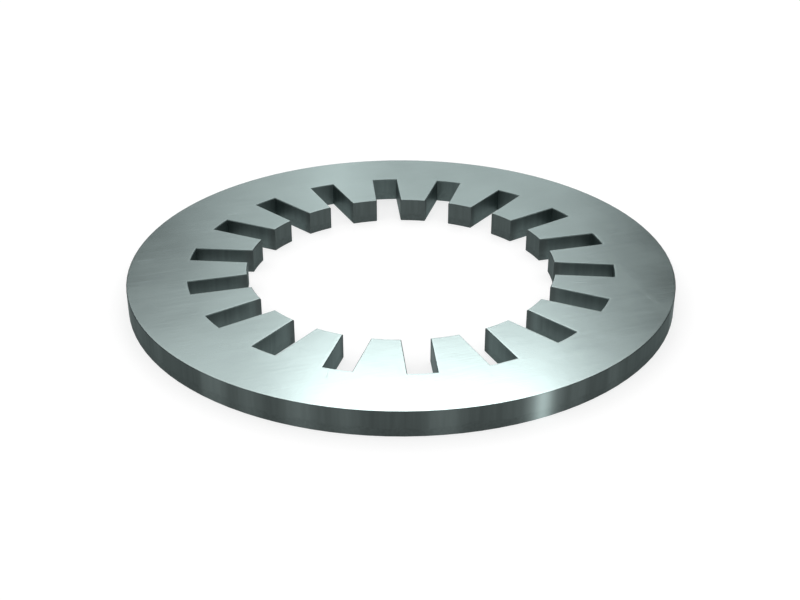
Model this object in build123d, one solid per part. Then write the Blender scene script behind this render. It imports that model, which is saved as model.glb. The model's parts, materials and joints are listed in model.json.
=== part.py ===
from build123d import *

import os

# Internal tooth lock washer: one flat ring, stamped from a strip of spring steel.
# Slots of one width run outwards from the bolt hole, and what stays between two slots is a tooth.
# The bottom face lies on z = 0, the axis of the bolt hole is Z, and one tooth points along +X.

# Driving dimensions, in millimetres
outside_diameter = 22.9
bolt_hole_diameter = 12.98
slot_root_diameter = 17.92
slot_width = 1.12
thickness = 1.05

# How far tumbling wears back the sharp edges of both faces
edge_break = 0.03

# How many teeth the ring has, with as many slots between them
tooth_count = 18


def ring():
    """The blank: a flat ring between the rim and the bolt hole."""
    return Circle(outside_diameter / 2) - Circle(bolt_hole_diameter / 2)


def slot():
    """One slot along +X: parallel sides from the axis outwards, closed by an arc of the root circle."""
    strip = Rectangle(outside_diameter, slot_width, align=(Align.MIN, Align.CENTER))
    return strip & Circle(slot_root_diameter / 2)


def toothed_outline():
    """The ring less its slots, which lie half a pitch round from the tooth on +X."""
    half_pitch = 180 / tooth_count
    places = PolarLocations(0, tooth_count, start_angle=half_pitch)
    return ring() - [place * slot() for place in places]


def lock_washer():
    """The outline raised to the strip's thickness, with the edges of both faces worn back."""
    sheared = extrude(toothed_outline(), amount=thickness)
    face_edges = sheared.faces().filter_by(Axis.Z).edges()
    return chamfer(face_edges, length=edge_break)


os.makedirs("parts", exist_ok=True)
export_step(lock_washer(), "parts/lock_washer.step")
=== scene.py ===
import json
import math

import bpy
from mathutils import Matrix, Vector


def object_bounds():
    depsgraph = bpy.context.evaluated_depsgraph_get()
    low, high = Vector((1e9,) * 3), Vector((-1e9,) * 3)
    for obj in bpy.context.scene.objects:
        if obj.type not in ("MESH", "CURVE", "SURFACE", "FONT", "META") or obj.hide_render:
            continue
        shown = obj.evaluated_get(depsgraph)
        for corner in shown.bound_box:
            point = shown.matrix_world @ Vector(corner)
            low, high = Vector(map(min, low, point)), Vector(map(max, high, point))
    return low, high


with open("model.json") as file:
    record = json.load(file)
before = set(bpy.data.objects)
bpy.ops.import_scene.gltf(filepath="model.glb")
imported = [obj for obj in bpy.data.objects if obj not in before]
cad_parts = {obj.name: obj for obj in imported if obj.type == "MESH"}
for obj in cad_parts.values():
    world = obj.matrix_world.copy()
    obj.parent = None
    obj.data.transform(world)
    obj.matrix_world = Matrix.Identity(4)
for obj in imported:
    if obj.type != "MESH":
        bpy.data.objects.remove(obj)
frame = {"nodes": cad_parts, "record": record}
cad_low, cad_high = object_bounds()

# An internal tooth lock washer lying on a pale floor: zinc plated spring steel, one stamped piece.
# The bottom face lies on z = 0 and the axis of the bolt hole is Z. The studio is in metres and degrees,
# and the washer's finish in millimetres.

WASHER = "lock_washer"
BOLT_HOLE = next(mount for mount in frame["record"]["mounts"] if mount["name"] == "bolt_hole")
MM_PER_METRE = 1000.0

# Where the camera stands: its turn round the washer, its rise above the floor, and how far off it is.
# Then the middle of its view, and the nearest and the farthest that it sees
CAMERA_AZIMUTH = -5.017
CAMERA_ELEVATION = 28.43
CAMERA_DISTANCE = 0.05432
CAMERA_AIM = Vector((-0.00004, 0.0, -0.00077))
NEAREST_SEEN = 0.001
FARTHEST_SEEN = 100.0
LENS_MM = 56.73
SENSOR_MM = 36.0

# All lights are white
WHITE = (1.0, 1.0, 1.0, 1.0)

# The room round the washer has this many sides, all alike
SIDES = 8

# Each side as seen from the washer, from the floor up: a white horizon, a wall, and the pale ceiling
HORIZON_TOP = 10.0
WALL_BOTTOM = 15.0
WALL_TOP = 28.5
CEILING_BOTTOM = 33.0
HORIZON_LIGHT = 1.0
CEILING_LIGHT = 1.0

# The ceiling's lower edge is tilted: it climbs by this share of the way across the room to the right
CEILING_SLOPE = 0.075

# A pale panel stands in the middle of each wall and fades into black curtains on both sides of it
PANEL_AZIMUTH = 0.0
PANEL_EDGE = 5.9
CURTAIN_EDGE = 15.4
PANEL_LIGHT = 0.615
CURTAIN_LIGHT = 0.03

# A narrow strip light stands in front of each panel, a little left of its middle
STRIP_ASIDE = -3.2
STRIP_HALF_WIDTH = 1.6
STRIP_LIGHT = 0.475

# The ceiling darkens towards its top, where a bank of light crosses it slantwise
CEILING_FADES = 50.0
ZENITH_LIGHT = 0.42
BANK_AZIMUTH = 62.0
BANK_MIDDLE = 3.0
BANK_EDGE = 17.0
BANK_ENDS = 55.0
BANK_STARTS = 72.0
BANK_LIGHT = 0.55

# A softbox hangs over each side. The one ahead is mirrored by the near half of the top face
KEY_AZIMUTH = 1.9
KEY_ELEVATION = 44.26
KEY_WIDTH = 0.223
KEY_HEIGHT = 0.43
KEY_DISTANCE = 1.0
KEY_LIGHT = 2.0
FILL_LIGHT = 0.45

# The floor: a white card, lifted to full white where the camera or a mirror-like surface sees it
FLOOR_HALF_WIDTH = 3.0
FLOOR_COLOUR = (0.40, 0.40, 0.40, 1.0)
FLOOR_LIFT = 0.69

# Zinc plate over steel: the rolled faces, then the sheared rim, tooth tips and slots, and the tint that all
# of them take on where they are seen edge on. The walls' colours are darkened as painted shade for the dark
# surroundings that they mirror, the rim's most and the slots' least
FACE_COLOUR = (0.545, 0.655, 0.645)
RIM_SHADE_COLOUR = (0.069, 0.085, 0.083)
TIP_SHADE_COLOUR = (0.090, 0.112, 0.110)
SLOT_SHADE_COLOUR = (0.115, 0.151, 0.148)
EDGE_TINT = (0.60, 0.66, 0.66, 1.0)
FACE_ROUGHNESS = 0.180
WALL_ROUGHNESS = 0.58

# The washer's outline in millimetres, for wear that follows its edges
RIM_RADIUS = cad_high[0] * MM_PER_METRE
HOLE_RADIUS = BOLT_HOLE["dims"]["r_mm"]
ROOT_RADIUS = 8.96
SLOT_HALF_WIDTH = 0.56
TOOTH_COUNT = 18
TOOTH_PITCH = 2 * math.pi / TOOTH_COUNT

# Where the finish and its painted shade change from the tooth tips to the slots, and from the slots to the
# rim, in millimetres
TIP_TO_SLOT = (HOLE_RADIUS + 0.1, HOLE_RADIUS + 0.5)
SLOT_TO_RIM = (ROOT_RADIUS + 0.5, RIM_RADIUS - 0.5)

# Where it changes from the walls to the faces, by how far the surface leans over: 0 upright, 1 lying flat.
# The worn edges lean over by 0.71 and keep the walls' finish and its painted shade
WALL_TO_FACE = (0.75, 0.97)

# The direction in which the strip was rolled, as a turn from the tooth on +X
GRAIN_TURN = math.radians(-14.0)

# How wide the wear and the rolled-over edge are, inwards from the outline, in millimetres
WORN_WIDTH = 0.22
ROLLED_WIDTH = 0.12

# Where the sheared wall gives way to the torn one, in millimetres above the bottom face
TEAR_HEIGHT = 0.36
TEAR_WANDER = 0.12
TEAR_BLUR = 0.04

# Noise patterns: lumps to a millimetre along each axis, which of the patterns it is, and its finer layers
GRAIN_NOISE = ((0.35, 6.0, 1.0), 1.0, 2.0)
CLOUD_NOISE = ((0.45, 0.45, 0.45), 2.0, 3.0)
PORE_NOISE = ((7.0, 7.0, 7.0), 3.0, 1.0)
LONG_SCRATCH_NOISE = ((0.9, 0.25, 0.5), 4.0, 1.0)
CROSS_SCRATCH_NOISE = ((0.2, 0.7, 0.5), 5.0, 1.0)
SCRATCHED_NOISE = ((0.5, 0.5, 0.5), 4.5, 1.0)
# The bands of painted reflection on the rim
REFLECTION_BAND_NOISE = ((0.6, 0.6, 0.02), 109.0, 0.0)
SCORE_NOISE = ((5.0, 5.0, 0.25), 7.0, 3.0)
GRIT_NOISE = ((9.0, 9.0, 9.0), 8.0, 2.0)
TEAR_NOISE = ((0.9, 0.9, 0.3), 9.0, 2.0)

# The noise texture's values lie mostly between these
NOISE_SPAN = (0.25, 0.75)

# A scratch runs where noise comes this near to 0, in places where other noise rises through these levels
SCRATCH_LINE = 0.010
SCRATCHED = (0.25, 0.45)

# The levels of noise between which a band of painted reflection comes up on the rim
REFLECTION_BANDED = (-0.3, 0.7)

# One place on the rim carries a painted glint, a bright reflection painted into its colour: its turn from
# the tooth on +X, and how far from its middle it has faded to a quarter, in millimetres
GLINT_TURN = math.radians(-69.0)
GLINT_WIDTH = 0.61

# What each mark adds: a share of the surface's tone, roughness, and height in thousandths of a millimetre
GRAIN = (0.018, 0.010, 0.12)
CLOUD = (0.030, 0.015, 0.80)
PORES = (0.0, 0.0, 0.10)
SCRATCHES = (-0.06, 0.05, -0.50)
WORN_EDGE = (0.04, 0.0, 0.0)
ROLLED_EDGE = (0.0, 0.0, -1.20)
SCORES = (0.14, 0.0, 0.90)
GRIT = (0.15, 0.0, 0.90)
# The torn foot's tone is raised as painted light against the shaded floor that it mirrors. Its roughness and
# height are its own
TORN_FOOT_AND_PAINTED_LIGHT = (0.06, 0.08, -2.00)
SMOOTH_SLOT = (0.0, -0.13, 0.0)
# Painted reflection: bands of light painted into the rim's colour
PAINTED_REFLECTION_BANDS = (0.70, 0.0, 0.0)
# The painted glint raises the rim's tone as a painted reflection, and makes it a little smoother there
PAINTED_GLINT = (5.2, -0.10, 0.0)
MICROMETRE = 1e-6


def add(tree, kind, inputs, **settings):
    """A node of one kind. An input that is another node's output is linked, any other is set."""
    node = tree.nodes.new(kind)
    for name, value in settings.items():
        setattr(node, name, value)
    for socket, value in inputs.items():
        if isinstance(value, bpy.types.NodeSocket):
            tree.links.new(value, node.inputs[socket])
        else:
            node.inputs[socket].default_value = value
    return node


def maths(tree, operation, first, second=0.0):
    """One sum on two numbers."""
    return add(tree, "ShaderNodeMath", {0: first, 1: second}, operation=operation).outputs[0]


def product(tree, *parts):
    """Several numbers multiplied together."""
    result = parts[0]
    for part in parts[1:]:
        result = maths(tree, "MULTIPLY", result, part)
    return result


def ramp(tree, value, low, high, to_low=0.0, to_high=1.0, smooth=True):
    """A number that turns from to_low to to_high while the value goes from low to high."""
    sockets = {"Value": value, "From Min": low, "From Max": high, "To Min": to_low, "To Max": to_high}
    kind = "SMOOTHSTEP" if smooth else "LINEAR"
    return add(tree, "ShaderNodeMapRange", sockets, interpolation_type=kind).outputs["Result"]


def blended(tree, share, first, second):
    """The first number where share is 0, the second where it is 1."""
    return add(tree, "ShaderNodeMix", {0: share, 2: first, 3: second}).outputs[0]


def mixed(tree, share, first, second):
    """The first vector where share is 0, the second where it is 1."""
    return add(tree, "ShaderNodeMix", {0: share, 4: first, 5: second}, data_type="VECTOR").outputs[1]


def scaled(tree, vector, factor):
    """A vector times a number."""
    return add(tree, "ShaderNodeVectorMath", {0: vector, "Scale": factor}, operation="SCALE").outputs[0]


def stretched(tree, vector, factors):
    """A vector with each of its three numbers multiplied by its own factor."""
    return add(tree, "ShaderNodeVectorMath", {0: vector, 1: factors}, operation="MULTIPLY").outputs[0]


def split(tree, vector):
    """The three numbers of a vector."""
    return add(tree, "ShaderNodeSeparateXYZ", {0: vector}).outputs


def along(tree, vector, axis):
    """How far a vector reaches along an axis."""
    return add(tree, "ShaderNodeVectorMath", {0: vector, 1: axis}, operation="DOT_PRODUCT").outputs["Value"]


def rise(elevation):
    """The height of the unit vector at an elevation in degrees."""
    return math.sin(math.radians(elevation))


def heading(azimuth):
    """The unit vector along the floor that lies this many degrees to the right of straight ahead."""
    turn = math.radians(azimuth - CAMERA_AZIMUTH)
    return Vector((math.sin(turn), math.cos(turn), 0.0))


def direction(azimuth, elevation):
    """The unit vector at an azimuth to the right of straight ahead and an elevation above the floor."""
    return heading(azimuth) * math.cos(math.radians(elevation)) + Vector((0.0, 0.0, rise(elevation)))


def aim(thing, target):
    """Turns a camera or a lamp where it stands, so that its -Z axis points at the target."""
    thing.rotation_euler = (target - thing.location).to_track_quat("-Z", "Y").to_euler()


def place_camera():
    """The photograph's viewpoint: on the near side of the washer, looking down at it."""
    lens = bpy.data.cameras.new("camera")
    lens.lens = LENS_MM
    lens.sensor_width = SENSOR_MM
    lens.clip_start = NEAREST_SEEN
    lens.clip_end = FARTHEST_SEEN
    camera = bpy.data.objects.new("camera", lens)
    bpy.context.scene.collection.objects.link(camera)
    camera.location = CAMERA_AIM + direction(180.0, CAMERA_ELEVATION) * CAMERA_DISTANCE
    aim(camera, CAMERA_AIM)
    bpy.context.scene.camera = camera


def hang_softbox(name, azimuth, light):
    """A rectangular lamp over one side of the room, facing the washer, whose face is this bright."""
    lamp = bpy.data.lights.new(name, "AREA")
    lamp.shape = "RECTANGLE"
    lamp.size = KEY_WIDTH
    lamp.size_y = KEY_HEIGHT
    lamp.energy = light * math.pi * KEY_WIDTH * KEY_HEIGHT
    box = bpy.data.objects.new(name, lamp)
    bpy.context.scene.collection.objects.link(box)
    box.location = direction(azimuth, KEY_ELEVATION) * KEY_DISTANCE
    aim(box, Vector((0.0, 0.0, 0.0)))


def hang_softboxes():
    """One softbox over each side of the room: bright straight ahead, and dim elsewhere."""
    for side in range(SIDES):
        light = KEY_LIGHT if side == 0 else FILL_LIGHT
        hang_softbox(f"softbox_{side}", KEY_AZIMUTH + side * 360.0 / SIDES, light)


def wall_light(tree, ray):
    """The light of the walls: in each of them a pale panel with a strip light, between black curtains.

    The turn round the room is wrapped into one side, so that it is 0 in the middle of each panel."""
    ahead = along(tree, ray, heading(PANEL_AZIMUTH))
    right = along(tree, ray, heading(PANEL_AZIMUTH + 90.0))
    half_side = math.pi / SIDES
    turn = maths(tree, "ARCTAN2", right, ahead)
    aside = add(tree, "ShaderNodeMath", {0: turn, 1: half_side, 2: -half_side}, operation="WRAP").outputs[0]
    edges = [math.radians(edge) for edge in (PANEL_EDGE, CURTAIN_EDGE)]
    panel = ramp(tree, maths(tree, "ABSOLUTE", aside), *edges, PANEL_LIGHT, CURTAIN_LIGHT)
    from_strip = maths(tree, "ABSOLUTE", maths(tree, "SUBTRACT", aside, math.radians(STRIP_ASIDE)))
    strip = ramp(tree, from_strip, 0.0, math.radians(STRIP_HALF_WIDTH), STRIP_LIGHT, 0.0)
    return maths(tree, "ADD", panel, strip)


def ceiling_light(tree, ray, up):
    """The light of the ceiling: less towards its top, with the slanting bank added there."""
    plain = ramp(tree, up, rise(CEILING_FADES), 1.0, CEILING_LIGHT, ZENITH_LIGHT)
    from_bank = maths(tree, "ABSOLUTE", along(tree, ray, heading(BANK_AZIMUTH + 90.0)))
    across = ramp(tree, from_bank, rise(BANK_MIDDLE), rise(BANK_EDGE), BANK_LIGHT, 0.0)
    lengthwise = ramp(tree, up, rise(BANK_ENDS), rise(BANK_STARTS))
    return maths(tree, "ADD", plain, product(tree, across, lengthwise))


def paint_studio():
    """The light that comes from the room, by how high it is above the floor and on which side."""
    world = bpy.data.worlds.new("studio")
    bpy.context.scene.world = world
    world.use_nodes = True
    tree = world.node_tree
    tree.nodes.clear()
    ray = add(tree, "ShaderNodeTexCoord", {}).outputs["Generated"]
    up = split(tree, ray)["Z"]
    above_horizon = ramp(tree, up, rise(HORIZON_TOP), rise(WALL_BOTTOM))
    over_edge = along(tree, ray, Vector((0.0, 0.0, 1.0)) - heading(90.0) * CEILING_SLOPE)
    in_ceiling = ramp(tree, over_edge, rise(WALL_TOP), rise(CEILING_BOTTOM))
    low = blended(tree, above_horizon, HORIZON_LIGHT, wall_light(tree, ray))
    light = blended(tree, in_ceiling, low, ceiling_light(tree, ray, up))
    shade = add(tree, "ShaderNodeBackground", {"Color": WHITE, "Strength": light})
    add(tree, "ShaderNodeOutputWorld", {"Surface": shade.outputs[0]})


def white_card():
    """The floor's material: matt white, lifted for the camera and for mirror-like surfaces."""
    card = bpy.data.materials.new("white_card")
    card.use_nodes = True
    tree = card.node_tree
    tree.nodes.clear()
    path = add(tree, "ShaderNodeLightPath", {})
    seen = maths(tree, "ADD", path.outputs["Is Camera Ray"], path.outputs["Is Glossy Ray"])
    seen = maths(tree, "ADD", seen, path.outputs["Is Transmission Ray"])
    lift = product(tree, maths(tree, "MINIMUM", seen, 1.0), FLOOR_LIFT)
    matt = add(tree, "ShaderNodeBsdfDiffuse", {"Color": FLOOR_COLOUR})
    glow = add(tree, "ShaderNodeEmission", {"Color": WHITE, "Strength": lift})
    both = add(tree, "ShaderNodeAddShader", {0: matt.outputs[0], 1: glow.outputs[0]})
    add(tree, "ShaderNodeOutputMaterial", {"Surface": both.outputs[0]})
    return card


def lay_floor():
    """A wide flat card under the washer."""
    half = FLOOR_HALF_WIDTH
    corners = [(-half, -half, 0.0), (half, -half, 0.0), (half, half, 0.0), (-half, half, 0.0)]
    mesh = bpy.data.meshes.new("floor")
    mesh.from_pydata(corners, [], [(0, 1, 2, 3)])
    mesh.materials.append(white_card())
    floor = bpy.data.objects.new("floor", mesh)
    bpy.context.scene.collection.objects.link(floor)


def noise(tree, place, lumps_per_mm, pattern, layers):
    """Smooth noise round 0, mostly from -1 to 1."""
    vector = stretched(tree, place, lumps_per_mm)
    sockets = {"Vector": vector, "W": pattern, "Scale": 1.0, "Detail": layers}
    lumps = add(tree, "ShaderNodeTexNoise", sockets, noise_dimensions="4D").outputs[0]
    return ramp(tree, lumps, *NOISE_SPAN, -1.0, 1.0, smooth=False)


def place_on_washer(tree):
    """A point's place in millimetres from the centre of the bottom face, and its distance from the axis."""
    place = scaled(tree, add(tree, "ShaderNodeTexCoord", {}).outputs["Object"], MM_PER_METRE)
    flat = stretched(tree, place, (1.0, 1.0, 0.0))
    radius = add(tree, "ShaderNodeVectorMath", {0: flat}, operation="LENGTH").outputs["Value"]
    return place, radius


def distance_to_edge(tree, place, radius):
    """How far a point of a face lies from the nearest edge: the rim, the hole, or the side or end of a slot.

    The turn round the axis is folded into half a pitch, from a slot's centre line to a tooth's."""
    axes = split(tree, place)
    turn = maths(tree, "ARCTAN2", axes["Y"], axes["X"])
    from_tooth = maths(tree, "PINGPONG", turn, TOOTH_PITCH / 2)
    from_slot = maths(tree, "SUBTRACT", TOOTH_PITCH / 2, from_tooth)
    aside = product(tree, radius, maths(tree, "SINE", from_slot))
    beyond_side = maths(tree, "MAXIMUM", maths(tree, "SUBTRACT", aside, SLOT_HALF_WIDTH), 0.0)
    beyond_root = maths(tree, "MAXIMUM", maths(tree, "SUBTRACT", radius, ROOT_RADIUS), 0.0)
    squares = [product(tree, part, part) for part in (beyond_side, beyond_root)]
    to_slot = maths(tree, "SQRT", maths(tree, "ADD", *squares))
    to_rim = maths(tree, "SUBTRACT", RIM_RADIUS, radius)
    to_hole = maths(tree, "SUBTRACT", radius, HOLE_RADIUS)
    return maths(tree, "MINIMUM", to_slot, maths(tree, "MINIMUM", to_rim, to_hole))


def marked(tree, plain, *marks):
    """A surface's tone, roughness and height: the plain one's, and each mark's share of what it adds."""
    result = plain
    for share, addition in marks:
        sockets = {0: result, 1: scaled(tree, addition, share)}
        result = add(tree, "ShaderNodeVectorMath", sockets, operation="ADD").outputs[0]
    return result


def scratch_lines(tree, place):
    """Fine scratches: lines where smooth noise crosses 0, along the grain and across it, in some places."""
    here = ramp(tree, noise(tree, place, *SCRATCHED_NOISE), *SCRATCHED)
    lines = []
    for pattern in (LONG_SCRATCH_NOISE, CROSS_SCRATCH_NOISE):
        from_line = maths(tree, "ABSOLUTE", noise(tree, place, *pattern))
        lines.append(ramp(tree, from_line, 0.0, SCRATCH_LINE, 1.0, 0.0))
    return product(tree, here, maths(tree, "MAXIMUM", *lines))


def rolled_face(tree, place, radius):
    """The strip's rolled surface: grain one way, soft clouds, pores, scratches, and wear at the edges."""
    rolled = {"Vector": place, "Angle": GRAIN_TURN}
    turned = add(tree, "ShaderNodeVectorRotate", rolled, rotation_type="Z_AXIS").outputs[0]
    edge = distance_to_edge(tree, place, radius)
    to_edge = ramp(tree, edge, 0.0, ROLLED_WIDTH, 1.0, 0.0, smooth=False)
    return marked(
        tree,
        (1.0, FACE_ROUGHNESS, 0.0),
        (noise(tree, turned, *GRAIN_NOISE), GRAIN),
        (noise(tree, place, *CLOUD_NOISE), CLOUD),
        (noise(tree, place, *PORE_NOISE), PORES),
        (scratch_lines(tree, turned), SCRATCHES),
        (ramp(tree, edge, 0.0, WORN_WIDTH, 1.0, 0.0), WORN_EDGE),
        (product(tree, to_edge, to_edge), ROLLED_EDGE),
    )


def painted_glint(tree, place):
    """The upright painted glint on the rim, a bright reflection painted into its colour: 1 along its middle,
    fading out on both sides.
    """
    outward = Vector((math.cos(GLINT_TURN), math.sin(GLINT_TURN), 0.0))
    aside = Vector((-outward.y, outward.x, 0.0))
    on_rim = ramp(tree, along(tree, place, outward), *SLOT_TO_RIM)
    widths = along(tree, place, aside / GLINT_WIDTH)
    fading = maths(tree, "DIVIDE", 1.0, maths(tree, "ADD", 1.0, product(tree, widths, widths)))
    return product(tree, on_rim, fading, fading)


def sheared_wall(tree, place, radius):
    """The wall that the punch left: scored over a torn foot, smoother in the slots, with bands of painted
    reflection and one painted glint on the rim.
    """
    wander = product(tree, noise(tree, place, *TEAR_NOISE), TEAR_WANDER)
    tear = maths(tree, "ADD", TEAR_HEIGHT, wander)
    above_tear = maths(tree, "SUBTRACT", split(tree, place)["Z"], tear)
    sheared = ramp(tree, above_tear, -TEAR_BLUR, TEAR_BLUR)
    torn = maths(tree, "SUBTRACT", 1.0, sheared)
    reflection_bands = ramp(tree, noise(tree, place, *REFLECTION_BAND_NOISE), *REFLECTION_BANDED)
    on_rim = ramp(tree, radius, *SLOT_TO_RIM)
    in_slot = product(tree, ramp(tree, radius, *TIP_TO_SLOT), maths(tree, "SUBTRACT", 1.0, on_rim))
    return marked(
        tree,
        (1.0, WALL_ROUGHNESS, 0.0),
        (product(tree, sheared, noise(tree, place, *SCORE_NOISE)), SCORES),
        (product(tree, torn, noise(tree, place, *GRIT_NOISE)), GRIT),
        # The torn foot, lightened as painted light
        (torn, TORN_FOOT_AND_PAINTED_LIGHT),
        (in_slot, SMOOTH_SLOT),
        # Bands of painted reflection on the rim
        (product(tree, reflection_bands, on_rim), PAINTED_REFLECTION_BANDS),
        # A painted glint: a bright reflection painted into the rim's colour
        (painted_glint(tree, place), PAINTED_GLINT),
    )


def painted_wall_shade(tree, radius):
    """The sheared walls' colour, darkened as painted shade, which changes outwards from the tooth tips to
    the slots and to the rim.
    """
    inner = mixed(tree, ramp(tree, radius, *TIP_TO_SLOT), TIP_SHADE_COLOUR, SLOT_SHADE_COLOUR)
    return mixed(tree, ramp(tree, radius, *SLOT_TO_RIM), inner, RIM_SHADE_COLOUR)


def zinc_plated_steel():
    """The washer's finish: bright plate on the rolled faces, and duller on the sheared walls, whose colour
    is darkened as painted shade.
    """
    steel = bpy.data.materials.new("zinc_plated_steel")
    steel.use_nodes = True
    tree = steel.node_tree
    tree.nodes.clear()
    place, radius = place_on_washer(tree)
    facing = add(tree, "ShaderNodeTexCoord", {}).outputs["Normal"]
    lying = maths(tree, "ABSOLUTE", split(tree, facing)["Z"])
    on_face = ramp(tree, lying, *WALL_TO_FACE)
    surface = mixed(tree, on_face, sheared_wall(tree, place, radius), rolled_face(tree, place, radius))
    tone, roughness, height = split(tree, surface)
    # The walls' colour here is painted shade
    metal = mixed(tree, on_face, painted_wall_shade(tree, radius), FACE_COLOUR)
    relief = add(tree, "ShaderNodeBump", {"Height": height, "Distance": MICROMETRE})
    finish = add(tree, "ShaderNodeBsdfPrincipled", {
        "Base Color": scaled(tree, metal, tone),
        "Metallic": 1.0,
        "Roughness": roughness,
        "Specular Tint": EDGE_TINT,
        "Normal": relief.outputs[0],
    })
    add(tree, "ShaderNodeOutputMaterial", {"Surface": finish.outputs[0]})
    return steel


def finish_washer():
    """Gives the washer its steel, on every material slot that it came with."""
    steel = zinc_plated_steel()
    for slot in frame["nodes"][WASHER].material_slots:
        slot.material = steel


bpy.context.scene.view_settings.view_transform = "Standard"
place_camera()
paint_studio()
hang_softboxes()
lay_floor()
finish_washer()
